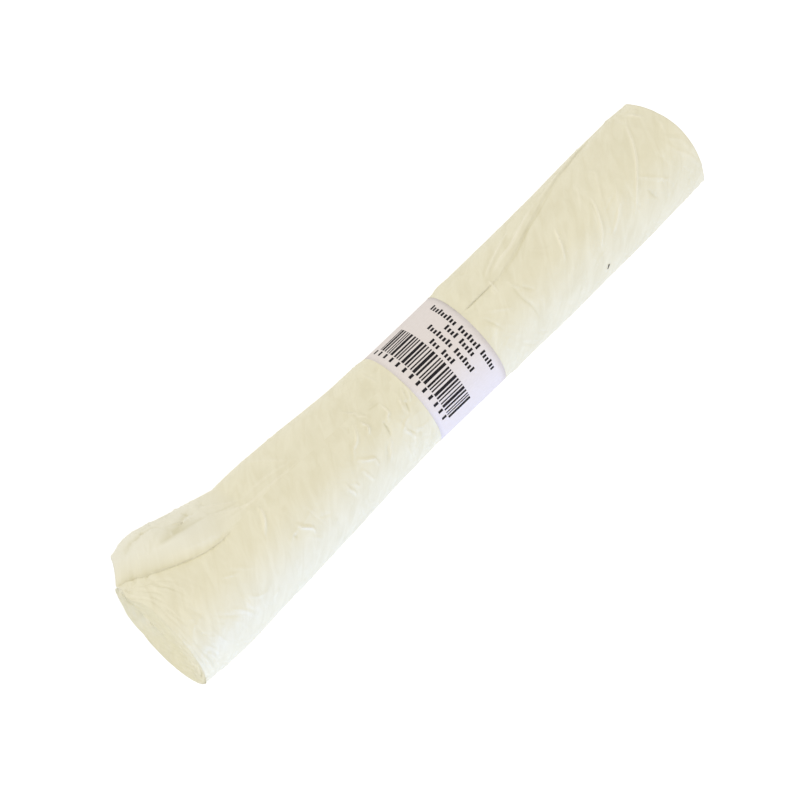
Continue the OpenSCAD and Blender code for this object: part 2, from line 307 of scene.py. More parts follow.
def crinkles(rng):
    """Small wrinkles all over the film, closer together beside the band and at the ends."""
    wrinkles = []
    for _ in range(800):
        x = rng.uniform(LOOSE_X, FIRM_X)
        slope = math.radians(rng.normal(55, 18)) * rng.choice([-1, 1], p=[0.25, 0.75])
        wrinkles.append((x, rng.uniform(-180, 180), slope, rng.uniform(4, 14),
                         0.22 * rng.random() ** 2 + 0.04))
    for _ in range(220):
        side = rng.choice([-1, 1], p=[0.6, 0.4])
        edge = BAND_LO if side < 0 else BAND_HI
        x = edge + side * abs(rng.normal(0, 13))
        slope = math.radians(rng.normal(40, 20)) * rng.choice([-1, 1], p=[0.3, 0.7])
        wrinkles.append((x, rng.uniform(-180, 180), slope, rng.uniform(4, 12),
                         0.24 * rng.random() ** 2 + 0.07))
    for _ in range(300):
        side = rng.choice([-1, 1], p=[0.3, 0.7])
        x = -side * (FIRM_X - abs(rng.normal(0, 9)))
        slope = math.radians(rng.normal(78, 9)) * rng.choice([-1, 1])
        wrinkles.append((x, rng.uniform(-180, 180), slope, rng.uniform(6, 22),
                         0.18 * rng.random() ** 2 + 0.06))
    return wrinkles


def gathers():
    """Short fine folds: in a fan round the corner of the free edge at the loose end, and on the hood."""
    rng = np.random.default_rng(SEED)
    folds = []
    for _ in range(90):
        k = rng.uniform(0, 17)
        far = 0.2 + 1.05 * k
        fan = smooth_path([(LOOSE_X + 0.5 + 0.1 * k, 68 - k), (LOOSE_X + 0.6 + 0.3 * far, 44 + 0.5 * k),
                           (LOOSE_X + 0.7 + 0.7 * far, 10 + 1.6 * k), (LOOSE_X + 0.8 + far, 2.6 * k - 36)])
        start = rng.integers(0, 24)
        height = rng.choice((0.13, 0.08, -0.09, -0.15))
        folds.append((height, 0.40, fan[start:start + rng.integers(5, 12):2]))
    # The crumpled far side of the hood
    for _ in range(70):
        x, angle = rng.uniform(-141, -98), rng.uniform(46, 86)
        run, bend = rng.uniform(1.5, 4.5) * np.array([1, 2.2]), rng.uniform(0, math.pi)
        run *= (math.cos(bend), math.sin(bend))
        height = rng.choice((0.20, 0.13, -0.16, -0.24))
        middle = (x + 0.6 * run[0], angle + 0.4 * run[1])
        folds.append((height, 0.50, [(x, angle), middle, (x + run[0], angle + run[1])]))
    return folds


def crease_relief(x, angle, widest=math.inf):
    """Height of the creases that are placed one by one, up to the widest half width."""
    u, v = unroll(x, (angle + 180) % 360 - 180)
    relief = np.zeros_like(u)
    for height, half_width, points in CREASES + gathers():
        if half_width > widest:
            continue
        path = smooth_path(points)
        path = np.stack(unroll(path[:, 0], path[:, 1]), axis=-1)
        add_crease(relief, u, v, height, half_width, path)
    return relief


def film_relief(x, angle):
    """Height of all the wrinkles, in millimetres, at places on the film."""
    u, v = unroll(x, (angle + 180) % 360 - 180)
    relief = CREASE_SHARE * crease_relief(x, angle)
    rng = np.random.default_rng(SEED)
    for cx, ca, slope, length, height in crinkles(rng):
        cu, cv = unroll(cx, ca)
        t = np.linspace(-0.5, 0.5, 5)[:, None]
        bend = rng.normal(0, 0.12) * length
        run = np.array([math.cos(slope), math.sin(slope)])
        side = np.array([-run[1], run[0]])
        path = np.array([cu, cv]) + t * length * run + (0.25 - t ** 2) * 4 * bend * side
        sign = rng.choice([1, -1], p=[0.6, 0.4])
        add_crease(relief, u, v, sign * height, rng.uniform(0.5, 0.9), path)
    # Slack: broad soft waves that run mostly along the roll
    for _ in range(14):
        along, across = rng.normal(0, 0.045), rng.normal(0, 0.16)
        phase = rng.uniform(0, 2 * math.pi)
        around = round(across * FIRM_RADIUS)
        relief += 0.035 * np.sin(u * along * 2 + np.radians(angle) * around + phase)
    return relief * (1 - SMOOTHED * covered(x))


def outer_ply(x, turned, inward=0.0):
    """Points of the outer ply at x and turned round from its free edge, or inward from there."""
    turned = turned - np.interp(x, EDGE_X, EDGE_SLOPE) * np.clip((turned - 340) / 20, 0, 1)
    angle = tail_at(x) + turned
    puff = hood_along(x) * hood_round(turned)
    step = (TAIL_STEP - (TAIL_STEP - TAIL_PRESSED) * squeeze(x)) * np.interp(x, EDGE_X, EDGE_STANDS)
    foot = np.radians(360 - turned) * FIRM_RADIUS / EDGE_GAP_WIDTH
    gap = np.interp(x, EDGE_X, EDGE_GAP) * np.exp(-foot ** 2) * (1 - squeeze(x))
    lift = step * (1 - turned / 360) + HOOD_OUT * puff + film_relief(x, angle) - gap + hug(x)
    fade = np.maximum(0, (HOOD_X - x) / HOOD_LEN) ** 2
    p = section_point(x, radius(x) + lift - inward, angle, film_floor(x) + inward)
    p[..., 0] += HOOD_PULL * fade * hood_round(turned) * ease((HOOD_SPAN - turned) / PULL_SPAN)
    return p


def inner_ply(x, turned, inward):
    """Points of the turns under the outer ply."""
    return section_point(x, radius(x) - inward, tail_at(x) + turned, film_floor(x) + inward)


def eye_point(x, angle, half_w, half_h, shift, drop, tilt):
    """Points of the flattened eye that the winding starts from."""
    a, t = np.radians(angle - tilt), math.radians(tilt)
    u, v = half_w * np.sin(a), half_h * np.cos(a)
    y = axis_y(x) - shift + u * math.cos(t) + v * math.sin(t)
    z = axis_z(x) - drop - u * math.sin(t) + v * math.cos(t)
    return np.stack([x + 0 * a, y, z], axis=-1)


# Depth of the grooves between the turns that show on an end face
FACE_DEPTH = 0.8
# The two ends: x of the face, direction into the roll, recess of the inner turns and the eye
LOOSE_END = dict(x=LOOSE_X, into=1, dish=2.0, half_w=6.0, half_h=0.8, shift=8.0, drop=4.0, tilt=18)
FIRM_END = dict(x=FIRM_X, into=-1, dish=1.5, half_w=6.0, half_h=0.8, shift=0.0, drop=4.0, tilt=18)


def end_eye(end, angle):
    """Points of the eye on the face of one end."""
    shape = {k: end[k] for k in ("half_w", "half_h", "shift", "drop", "tilt")}
    return eye_point(np.float64(end["x"]), angle, **shape)


# Mesh helpers

def mesh_piece(name, points, faces, material, smooth=True):
    """A mesh object from points in millimetres."""
    mesh = bpy.data.meshes.new(name)
    points = np.asarray(points, float).reshape(-1, 3) * MM
    mesh.vertices.add(len(points))
    mesh.vertices.foreach_set("co", points.ravel())
    faces = [list(f) for f in faces]
    sizes = np.array([len(f) for f in faces])
    mesh.loops.add(int(sizes.sum()))
    mesh.loops.foreach_set("vertex_index", np.concatenate([np.array(f) for f in faces]))
    mesh.polygons.add(len(faces))
    mesh.polygons.foreach_set("loop_start", np.concatenate([[0], np.cumsum(sizes)[:-1]]))
    mesh.polygons.foreach_set("use_smooth", np.full(len(faces), smooth))
    mesh.update(calc_edges=True)
    mesh.validate()
    mesh.materials.append(material)
    piece = bpy.data.objects.new(name, mesh)
    bpy.context.collection.objects.link(piece)
    return piece


def ring_walls(ring_count, size, closed_round=True):
    """Quads between neighbouring rings of points."""
    i, j = np.meshgrid(np.arange(ring_count - 1), np.arange(size if closed_round else size - 1),
                       indexing="ij")
    a = i * size + j
    b = i * size + (j + 1) % size
    return np.stack([a, a + size, b + size, b], axis=-1).reshape(-1, 4)


def finish_piece(piece, slot, *nodes):
    """Rides a piece on the one body, and hides the nodes that it stands for."""
    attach(piece, "root")
    if nodes:
        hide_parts(*nodes)


# Materials

def new_material(name):
    material = bpy.data.materials.new(name)
    material.use_nodes = True
    tree = material.node_tree
    tree.nodes.clear()
    out = tree.nodes.new("ShaderNodeOutputMaterial")
    shader = tree.nodes.new("ShaderNodeBsdfPrincipled")
    tree.links.new(shader.outputs["BSDF"], out.inputs["Surface"])
    return material, tree, shader


def object_coords(tree, scale=(1, 1, 1), turn=(0, 0, 0)):
    coords = tree.nodes.new("ShaderNodeTexCoord")
    mapping = tree.nodes.new("ShaderNodeMapping")
    mapping.inputs["Scale"].default_value = scale
    mapping.inputs["Rotation"].default_value = turn
    tree.links.new(coords.outputs["Object"], mapping.inputs["Vector"])
    return mapping.outputs["Vector"]


def noise(tree, vector, scale, detail=3.0, roughness=0.5, distortion=0.0):
    node = tree.nodes.new("ShaderNodeTexNoise")
    node.inputs["Scale"].default_value = scale
    node.inputs["Detail"].default_value = detail
    node.inputs["Roughness"].default_value = roughness
    node.inputs["Distortion"].default_value = distortion
    tree.links.new(vector, node.inputs["Vector"])
    return node.outputs["Fac"]


def ramp(tree, value, stops):
    node = tree.nodes.new("ShaderNodeValToRGB")
    elements = node.color_ramp.elements
    while len(elements) < len(stops):
        elements.new(0.5)
    for element, (place, colour) in zip(elements, stops):
        element.position = place
        element.color = (*colour, 1)
    tree.links.new(value, node.inputs["Fac"])
    return node.outputs["Color"]


def bump(tree, height, strength, distance, normal=None):
    node = tree.nodes.new("ShaderNodeBump")
    node.inputs["Strength"].default_value = strength
    node.inputs["Distance"].default_value = distance
    tree.links.new(height, node.inputs["Height"])
    if normal is not None:
        tree.links.new(normal, node.inputs["Normal"])
    return node.outputs["Normal"]


def srgb(r, g, b):
    """Linear colour of an sRGB colour in 0 to 255."""
    return tuple(((c / 255 + 0.055) / 1.055) ** 2.4 if c > 10 else c / 255 / 12.92 for c in (r, g, b))


def film_place(tree, scale, turn=0.0):
    """The film's own coordinates, which follow it round the roll, turned and then stretched."""
    place = tree.nodes.new("ShaderNodeAttribute")
    place.attribute_name = "film_place"
    turned = tree.nodes.new("ShaderNodeVectorRotate")
    turned.rotation_type = "Z_AXIS"
    turned.inputs["Angle"].default_value = turn
    tree.links.new(place.outputs["Vector"], turned.inputs["Vector"])
    stretched = tree.nodes.new("ShaderNodeMapping")
    stretched.inputs["Scale"].default_value = scale
    tree.links.new(turned.outputs["Vector"], stretched.inputs["Vector"])
    return stretched.outputs["Vector"]


CREAM = [(0.32, srgb(234, 230, 206)), (0.68, srgb(241, 238, 217))]


def tinted(tree, colour, amount, tint):
    """Mixes a tint into a colour by an amount from 0 to 1."""
    node = tree.nodes.new("ShaderNodeMix")
    node.data_type = "RGBA"
    node.inputs["B"].default_value = (*tint, 1)
    tree.links.new(amount, node.inputs["Factor"])
    tree.links.new(colour, node.inputs["A"])
    return node.outputs["Result"]


def share_of(tree, value, start, stop, top):
    """Rises from 0 to top while the value goes from start to stop."""
    node = tree.nodes.new("ShaderNodeMapRange")
    for label, number in (("From Min", start), ("From Max", stop), ("To Min", 0.0), ("To Max", top)):
        node.inputs[label].default_value = number
    tree.links.new(value, node.inputs["Value"])
    return node.outputs["Result"]


def film_material():
    """Thin milky film in many plies: whiter on the hood, which is one ply, with a painted highlight along the
    creases' ridges and painted shade in their valleys.
    """
    material, tree, shader = new_material("milky_film")
    streaks = noise(tree, film_place(tree, (70, 230, 1), -0.95), 1.0, 3, 0.5, 1.0)
    colour = ramp(tree, streaks, CREAM)
    puff = tree.nodes.new("ShaderNodeAttribute")
    puff.attribute_name = "puff"
    colour = tinted(tree, colour, share_of(tree, puff.outputs["Fac"], 0.0, 0.6, 0.6), srgb(239, 239, 230))
    crease = tree.nodes.new("ShaderNodeAttribute")
    crease.attribute_name = "crease"
    height = crease.outputs["Fac"]
    # Painted highlight: lighter along the creases' ridges. Painted shade: darker in their valleys.
    colour = tinted(tree, colour, share_of(tree, height, 0.06, 0.6, 0.7), srgb(253, 250, 234))
    colour = tinted(tree, colour, share_of(tree, height, -0.04, -0.6, 0.8), srgb(212, 207, 174))
    tree.links.new(colour, shader.inputs["Base Color"])
    patches = noise(tree, film_place(tree, (70, 160, 1)), 1.0, 2)
    tree.links.new(ramp(tree, patches, [(0.3, (0.40,) * 3), (0.7, (0.54,) * 3)]), shader.inputs["Roughness"])
    shader.inputs["IOR"].default_value = 1.5
    fine = noise(tree, film_place(tree, (260, 800, 1), -0.95), 1.0, 4, 0.6, 1.2)
    cross = noise(tree, film_place(tree, (420, 900, 1), 0.6), 1.0, 3, 0.6, 0.8)
    normal = bump(tree, fine, 0.13, 0.0005)
    normal = bump(tree, cross, 0.13, 0.0003, normal)
    tree.links.new(normal, shader.inputs["Normal"])
    return material


def edge_material():
    """The cut edges of the turns: the same film, painted lighter than the film's own colour to offset the
    shade between them.
    """
    material, tree, shader = new_material("film_edges")
    tone = noise(tree, object_coords(tree), 420, 3, 0.6)
    # Painted light: lighter than CREAM, to offset the shade that falls between the turns
    colour = ramp(tree, tone, [(0.30, srgb(241, 238, 212)), (0.70, srgb(248, 245, 223))])
    tree.links.new(colour, shader.inputs["Base Color"])
    shader.inputs["Roughness"].default_value = 0.45
    tree.links.new(bump(tree, tone, 0.3, 0.0003), shader.inputs["Normal"])
    return material


def paper_material():
    """Smooth white label paper with a faint fibre."""
    material, tree, shader = new_material("label_paper")
    fibre = noise(tree, object_coords(tree, (1, 3, 3)), 700, 4, 0.6)
    colour = ramp(tree, fibre, [(0.3, srgb(232, 226, 227)), (0.7, srgb(239, 233, 235))])
    tree.links.new(colour, shader.inputs["Base Color"])
    shader.inputs["Roughness"].default_value = 0.62
    normal = bump(tree, fibre, 0.15, 0.0001)
    tree.links.new(normal, shader.inputs["Normal"])
    return material


def ink_material():
    """Black print, a little uneven where it has worn."""
    material, tree, shader = new_material("black_print")
    worn = noise(tree, object_coords(tree), 1500, 3, 0.6)
    colour = ramp(tree, worn, [(0.35, srgb(22, 21, 24)), (0.75, srgb(46, 44, 50))])
    tree.links.new(colour, shader.inputs["Base Color"])
    shader.inputs["Roughness"].default_value = 0.8
    shader.inputs["IOR"].default_value = 1.3
    return material


def speck_material():
    """Dark brown, uneven."""
    material, tree, shader = new_material("dark_speck")
    tone = noise(tree, object_coords(tree), 2500, 2)
    colour = ramp(tree, tone, [(0.3, srgb(52, 44, 36)), (0.7, srgb(84, 74, 62))])
    tree.links.new(colour, shader.inputs["Base Color"])
    shader.inputs["Roughness"].default_value = 0.8
    return material


FILM = film_material()
EDGES = edge_material()
PAPER = paper_material()
INK = ink_material()
SPECK = speck_material()


# The wound film: a closed skin in two halves, which meet under the band

STATION_STEP = 0.47
SPLIT_X = 0.0


def round_places():
    """Angles turned from the free edge, closer together beside it and wider apart underneath."""
    edge = np.linspace(0, 3, 4, endpoint=False)
    upper = np.linspace(3, 85, 76, endpoint=False)
    under = np.linspace(85, 190, 46, endpoint=False)
    side = np.linspace(190, 357, 150, endpoint=False)
    foot = np.linspace(357, 360, 9)
    return np.concatenate([edge, upper, under, side, foot])


def stations(start, stop):
    """Places along the roll, with a few more where the film rises against the band's edges."""
    even = np.linspace(start, stop, int((stop - start) / STATION_STEP))
    edges = [BAND_LO - past for past in (0.08, 0.04, 0.01)] + [BAND_HI + past for past in (0.01, 0.04, 0.08)]
    return np.unique(np.concatenate([even, [x for x in edges if start < x < stop]]))


def end_rings(end, turned):
    """Rings from the middle of an end face out to the mouth of the pocket under the outer ply."""
    x, into = end["x"], end["into"]
    angle = tail_at(x) + turned
    rim = inner_ply(np.full_like(turned, x), turned, INNER_DEPTH)
    eye = end_eye(end, angle)
    middle = end_eye(dict(end, half_w=0.0, half_h=0.0), angle)
    rings = []
    for size, depth in ((0.02, 12), (0.5, 11), (0.8, 8), (0.92, 3)):
        ring = middle + (eye - middle) * size
        ring[:, 0] = x + into * (end["dish"] + depth)
        rings.append(ring)
    for share in np.linspace(0, 1, 10):
        ring = eye + (rim - eye) * share
        ring[:, 0] += into * (end["dish"] * (1 - share) + FACE_DEPTH)
        rings.append(ring)
    return rings


def skin_half(name, rings, turned, outer_at, outer_x):
    """A closed skin from rings that run towards +X, with a flat cover at each end.

    The rings from outer_at on are the outer ply's, at the places outer_x.
    """
    size = len(turned)
    walls = ring_walls(len(rings), size)
    first, last = np.arange(size), np.arange((len(rings) - 1) * size, len(rings) * size)[::-1]
    piece = mesh_piece(name, np.concatenate(rings), walls.tolist() + [first.tolist(), last.tolist()], FILM)
    # The film's own coordinates: along the roll and round it, going on past one turn at the free edge
    x = np.stack([ring[:, 0] for ring in rings])
    outer = slice(outer_at, outer_at + len(outer_x))
    x[outer] = outer_x[:, None]
    angle = tail_at(x) + turned
    # Height of the creases, which the film's colour turns into a painted highlight on ridges and painted
    # shade in valleys
    tone = np.zeros_like(x)
    tone[outer] = crease_relief(x[outer], angle[outer], widest=3.0)
    puff = np.zeros_like(x)
    puff[outer] = hood_along(x[outer]) * hood_round(turned)
    for label, values in (("crease", tone), ("puff", puff)):
        attribute = piece.data.attributes.new(label, "FLOAT", "POINT")
        attribute.data.foreach_set("value", values.ravel())
    x, v = x.ravel(), np.radians(angle).ravel() * FIRM_RADIUS
    wall_v = v[walls]
    wall_v[size - 1::size, 2:] += 2 * math.pi * FIRM_RADIUS
    corner_x = np.concatenate([x[walls].ravel(), x[first], x[last]])
    corner_v = np.concatenate([wall_v.ravel(), v[first], v[last]])
    place = piece.data.attributes.new("film_place", "FLOAT_VECTOR", "CORNER")
    place.data.foreach_set("vector", (np.stack([corner_x, corner_v, 0 * corner_x], axis=-1) * MM).ravel())
    return piece


def loose_half():
    """The film from the loose end to the band, with the pocket behind the hood's mouth."""
    turned = round_places()
    rings = end_rings(LOOSE_END, turned)
    pocket = LOOSE_X + HOOD_LEN * np.array([0.02, 0.1, 0.2, 0.3, 0.4, 0.5, 0.6])
    # Past the hood the plies lie close together
    apart = ease((HOOD_SPAN + CLOSE_SPAN - turned) / CLOSE_SPAN)[:, None]
    for x in pocket:
        x = np.full_like(turned, x)
        close = outer_ply(x, turned, PLY_T + 0.02)
        rings.append(close + (inner_ply(x, turned, INNER_DEPTH) - close) * apart)
    for x in pocket[::-1]:
        rings.append(outer_ply(np.full_like(turned, x), turned, PLY_T))
    rings.append(outer_ply(np.full_like(turned, LOOSE_X), turned, PLY_T))
    outer_at, outer_x = len(rings), stations(LOOSE_X, SPLIT_X)
    rings.extend(outer_ply(*np.meshgrid(outer_x, turned, indexing="ij")))
    return skin_half("film_loose_half", rings, turned, outer_at, outer_x)


def firm_half():
    """The film from the band to the firm end."""
    turned = round_places()
    outer_x = stations(SPLIT_X, FIRM_X)
    rings = list(outer_ply(*np.meshgrid(outer_x, turned, indexing="ij")))
    for x in (FIRM_X, FIRM_X - 1.2):
        rings.append(outer_ply(np.full_like(turned, x), turned, PLY_T))
    rings.extend(end_rings(FIRM_END, turned)[::-1])
    return skin_half("film_firm_half", rings, turned, 0, outer_x)


film_loose = loose_half()
finish_piece(film_loose, "film", "bag_roll")
film_firm = firm_half()
finish_piece(film_firm, "film", "bag_roll")


# Geometry Nodes: ribbons of film that stand out of an end face along the winding

def node_tree(name, inputs):
    """A Geometry Nodes tree with a mesh going in and out, and named inputs."""
    tree = bpy.data.node_groups.new(name, "GeometryNodeTree")
    face = tree.interface
    face.new_socket("Geometry", in_out="INPUT", socket_type="NodeSocketGeometry")
    for label, kind in inputs:
        face.new_socket(label, in_out="INPUT", socket_type=kind)
    face.new_socket("Geometry", in_out="OUTPUT", socket_type="NodeSocketGeometry")
    return tree, tree.nodes.new("NodeGroupInput"), tree.nodes.new("NodeGroupOutput")


def applied(piece, tree, values):
    """Runs a tree on a piece with the values of its named inputs and keeps the plain mesh."""
    modifier = piece.modifiers.new(tree.name, "NODES")
    modifier.node_group = tree
    for item in tree.interface.items_tree:
        if item.item_type == "SOCKET" and item.in_out == "INPUT" and item.name in values:
            modifier[item.identifier] = values[item.name]
    bpy.context.view_layer.update()
    evaluated = piece.evaluated_get(bpy.context.evaluated_depsgraph_get())
    mesh = bpy.data.meshes.new_from_object(evaluated)
    piece.modifiers.clear()
    piece.data = mesh
    return piece


def turn_edges_tree():
    """Sweeps a thin upright strip along a path, with ruffles that move its points by noise."""
    tree, enter, leave = node_tree("Turn edges", [
        ("Strip height", "NodeSocketFloat"),
        ("Strip thickness", "NodeSocketFloat"),
        ("Ruffle size", "NodeSocketFloat"),
        ("Ruffle depth", "NodeSocketFloat"),
        ("Material", "NodeSocketMaterial"),
    ])
    new, link = tree.nodes.new, tree.links.new
    path = new("GeometryNodeMeshToCurve")
    link(enter.outputs["Geometry"], path.inputs["Mesh"])
    upright = new("GeometryNodeSetCurveNormal")
    upright.mode = "FREE"
    upright.inputs["Normal"].default_value = (1, 0, 0)
    link(path.outputs["Curve"], upright.inputs["Curve"])
    strip = new("GeometryNodeCurvePrimitiveQuadrilateral")
    link(enter.outputs["Strip height"], strip.inputs["Width"])
    link(enter.outputs["Strip thickness"], strip.inputs["Height"])
    sweep = new("GeometryNodeCurveToMesh")
    sweep.inputs["Fill Caps"].default_value = True
    link(upright.outputs["Curve"], sweep.inputs["Curve"])
    link(strip.outputs["Curve"], sweep.inputs["Profile Curve"])
    # Ruffles move the points by noise that changes along the winding
    place = new("GeometryNodeInputPosition")
    cloud = new("ShaderNodeTexNoise")
    cloud.inputs["Detail"].default_value = 2.0
    link(place.outputs["Position"], cloud.inputs["Vector"])
    link(enter.outputs["Ruffle size"], cloud.inputs["Scale"])
    centred = new("ShaderNodeVectorMath")
    centred.operation = "SUBTRACT"
    centred.inputs[1].default_value = (0.5, 0.5, 0.5)
    link(cloud.outputs["Color"], centred.inputs[0])
    deep = new("ShaderNodeVectorMath")
    deep.operation = "SCALE"
    link(centred.outputs["Vector"], deep.inputs[0])
    link(enter.outputs["Ruffle depth"], deep.inputs["Scale"])
    ruffled = new("GeometryNodeSetPosition")
    link(sweep.outputs["Mesh"], ruffled.inputs["Geometry"])
    link(deep.outputs["Vector"], ruffled.inputs["Offset"])
    real = new("GeometryNodeRealizeInstances")
    link(ruffled.outputs["Geometry"], real.inputs["Geometry"])
    paint = new("GeometryNodeSetMaterial")
    link(real.outputs["Geometry"], paint.inputs["Geometry"])
    link(enter.outputs["Material"], paint.inputs["Material"])
    link(paint.outputs["Geometry"], leave.inputs["Geometry"])
    return tree


# Height and thickness of the strip, how deep it is set into the face, and how far its rim lies inside
STRIP_H, STRIP_T, STRIP_SET, RIM_INSET = 2.4, 0.28, 1.4, 0.28
# Turns that show on each face, and points of the path on each turn
FACE_TURNS, TURN_STEPS = 36, 72


def winding_path(end, rng):
    """Middle line of the strip that shows on an end face, from the rim to the eye."""
    m = np.arange(FACE_TURNS * TURN_STEPS + 1)
    w = m / m[-1]
    turned = 360 * m / TURN_STEPS
    angle = tail_at(end["x"]) + turned
    rim = inner_ply(np.full_like(w, end["x"]), turned, RIM_INSET)
    eye = end_eye(end, angle)
    path = rim + (eye - rim) * w[:, None]
    # Plies that slid a little past each other in groups while the roll was wound and handled
    slip = 0 * w
    for _ in range(12):
        waves, drift = rng.integers(0, 9), rng.uniform(-1.0, 1.0)
        slip += rng.normal(0, 0.13) * np.sin(np.radians(turned) * (waves + drift / 6.3) + rng.uniform(0, 6.3))
    path[:, 0] += end["into"] * (end["dish"] * w + STRIP_SET + np.clip(slip, -0.2, 0.7))
    return path


def turn_edges(name, end, seed):
    """The edges of the turns on one end face, as one ruffled strip along the winding."""
    path = winding_path(end, np.random.default_rng(seed))
    mesh = bpy.data.meshes.new(name)
    edges = [(i, i + 1) for i in range(len(path) - 1)]
    mesh.from_pydata((path * MM).tolist(), edges, [])
    piece = bpy.data.objects.new(name, mesh)
    bpy.context.collection.objects.link(piece)
    applied(piece, TURN_EDGES, {
        "Strip height": STRIP_H * MM,
        "Strip thickness": STRIP_T * MM,
        "Ruffle size": 260.0,
        "Ruffle depth": 0.45 * MM,
        "Material": EDGES,
    })
    piece.data.shade_smooth()
    return piece


TURN_EDGES = turn_edges_tree()
loose_turns = turn_edges("turn_edges_loose", LOOSE_END, 11)
finish_piece(loose_turns, "film", "bag_roll")
firm_turns = turn_edges("turn_edges_firm", FIRM_END, 12)
finish_piece(firm_turns, "film", "bag_roll")


# The paper band: a strip round the roll with its ends glued over each other

BAND_STEPS, BAND_ROWS = 300, 13
GLUE_ANGLE, GLUE_LAP, LEDGE = 112.0, 14.0, 0.4
GLUE_TURN = math.degrees(GLUE_LAP / FIRM_RADIUS)


def band_lift(angle):
    """Extra height of the paper where its two ends lie over each other."""
    past = (angle - GLUE_ANGLE) % 360
    return PAPER_T * (1 - ease((past - GLUE_TURN) / LEDGE) + ease((past - 360 + LEDGE) / LEDGE))


def band_skin(x, angle, inside):
    """Points of the band's outside, or of its inside."""
    inner_r = radius(np.clip(x, SEAT_LO, SEAT_HI)) + TAIL_PRESSED + BAND_GAP
    slack = 0.05 * np.sin(np.radians(3 * angle + 40)) * np.sin(math.pi * (x - BAND_LO) / (BAND_HI - BAND_LO))
    lift = 0.0 if inside else PAPER_T + band_lift(angle)
    return section_point(x, inner_r + lift + slack, angle, PAPER_T if inside else 0.0)


def paper_band():
    """A closed strip with an outside and an inside, and a ledge where its ends are glued."""
    angles = np.concatenate([
        np.linspace(0, 360, BAND_STEPS, endpoint=False),
        GLUE_ANGLE + np.array([-LEDGE, 0.0, GLUE_TURN, GLUE_TURN + LEDGE]),
    ])
    angles = np.unique(np.round(angles, 3))
    rows = np.linspace(BAND_LO, BAND_HI, BAND_ROWS)
    rings = [band_skin(np.full_like(angles, x), angles, False) for x in rows]
    rings += [band_skin(np.full_like(angles, x), angles, True) for x in rows[::-1]]
    rings.append(rings[0])
    size = len(angles)
    faces = ring_walls(len(rings), size)
    last = (len(rings) - 1) * size
    faces = np.where(faces >= last, faces - last, faces)
    return mesh_piece("paper_band_strip", np.concatenate(rings[:-1]), faces.tolist(), PAPER)


band = paper_band()
finish_piece(band, "paper", "paper_band")


# Print on the band: plain bars and ticks, each a thin plate that lies on the paper

INK_T = 0.02


def print_tree():
    """Sets a thin plate on each point, turned to lie on the paper and scaled to its own size."""
    tree, enter, leave = node_tree("Print plates", [("Material", "NodeSocketMaterial")])
    new, link = tree.nodes.new, tree.links.new
    plate = new("GeometryNodeMeshCube")
    plate.inputs["Size"].default_value = (1, 1, 1)

    def attribute(name, kind):
        node = new("GeometryNodeInputNamedAttribute")
        node.data_type = kind
        node.inputs["Name"].default_value = name
        return next(s for s in node.outputs if s.name == "Attribute" and s.enabled)

    scatter = new("GeometryNodeInstanceOnPoints")
    link(enter.outputs["Geometry"], scatter.inputs["Points"])
    link(plate.outputs["Mesh"], scatter.inputs["Instance"])
    link(attribute("lean", "FLOAT_VECTOR"), scatter.inputs["Rotation"])
    link(attribute("size", "FLOAT_VECTOR"), scatter.inputs["Scale"])
    real = new("GeometryNodeRealizeInstances")
    link(scatter.outputs["Instances"], real.inputs["Geometry"])
    paint = new("GeometryNodeSetMaterial")
    link(real.outputs["Geometry"], paint.inputs["Geometry"])
    link(enter.outputs["Material"], paint.inputs["Material"])
    link(paint.outputs["Geometry"], leave.inputs["Geometry"])
    return tree


def print_plates(name, plates):
    """Plates of (x, angle, size along the roll, size round it), all in millimetres and degrees."""
    x, angle, along, across = (np.array(v, float) for v in zip(*plates))
    places = band_skin(x, angle, False) * MM
    mesh = bpy.data.meshes.new(name)
    mesh.from_pydata(places.tolist(), [], [])
    lean = mesh.attributes.new("lean", "FLOAT_VECTOR", "POINT")
    turn = np.stack([-np.radians(angle), 0 * x, 0 * x], axis=-1)
    lean.data.foreach_set("vector", turn.ravel())
    size = mesh.attributes.new("size", "FLOAT_VECTOR", "POINT")
    scale = np.stack([along, across, np.full_like(x, 2 * INK_T)], axis=-1) * MM
    size.data.foreach_set("vector", scale.ravel())
    piece = bpy.data.objects.new(name, mesh)
    bpy.context.collection.objects.link(piece)
    return applied(piece, PRINT_PLATES, {"Material": INK})


DEG_PER_MM = math.degrees(1 / (FIRM_RADIUS - BAND_BITE + TAIL_PRESSED + BAND_GAP + PAPER_T))
# The row of bars: its place along the roll, the bars' length, and the angles where it starts and ends
BARS_X, BARS_LEN = 3.8, 12.0
BARS_FROM, BARS_TO = -54.0, 66.0
# The ticks beside it: their place along the roll, and the length and width of one
TICKS_X, TICK_SIZE = -3.9, (2.3, 1.2)


def bar_row():
    """A row of bars whose widths and gaps repeat in a plain rhythm."""
    widths, gaps = (1.3, 0.6, 0.6, 0.9), (0.65, 0.6, 0.95)
    plates, angle, i = [], BARS_FROM, 0
    while angle < BARS_TO:
        width = widths[i % len(widths)]
        plates.append((BARS_X, angle + width / 2 * DEG_PER_MM, BARS_LEN, width))
        angle += (width + gaps[i % len(gaps)]) * DEG_PER_MM
        i += 1
    return plates


def tick_row(x, start, words, tick, gap, space):
    """Words of plain ticks in a line from the start angle: a tall one, then short ones."""
    plates, angle = [], start
    for count in words:
        for i in range(count):
            length = tick[0] * (1.0 if i % 3 == 0 else 0.74)
            plates.append((x - (tick[0] - length) / 2, angle, length, tick[1]))
            angle -= (tick[1] + gap) * DEG_PER_MM
        angle -= space * DEG_PER_MM
    return plates


PRINT_PLATES = print_tree()
print_bars = print_plates("print_bars", bar_row())
finish_piece(print_bars, "paper")
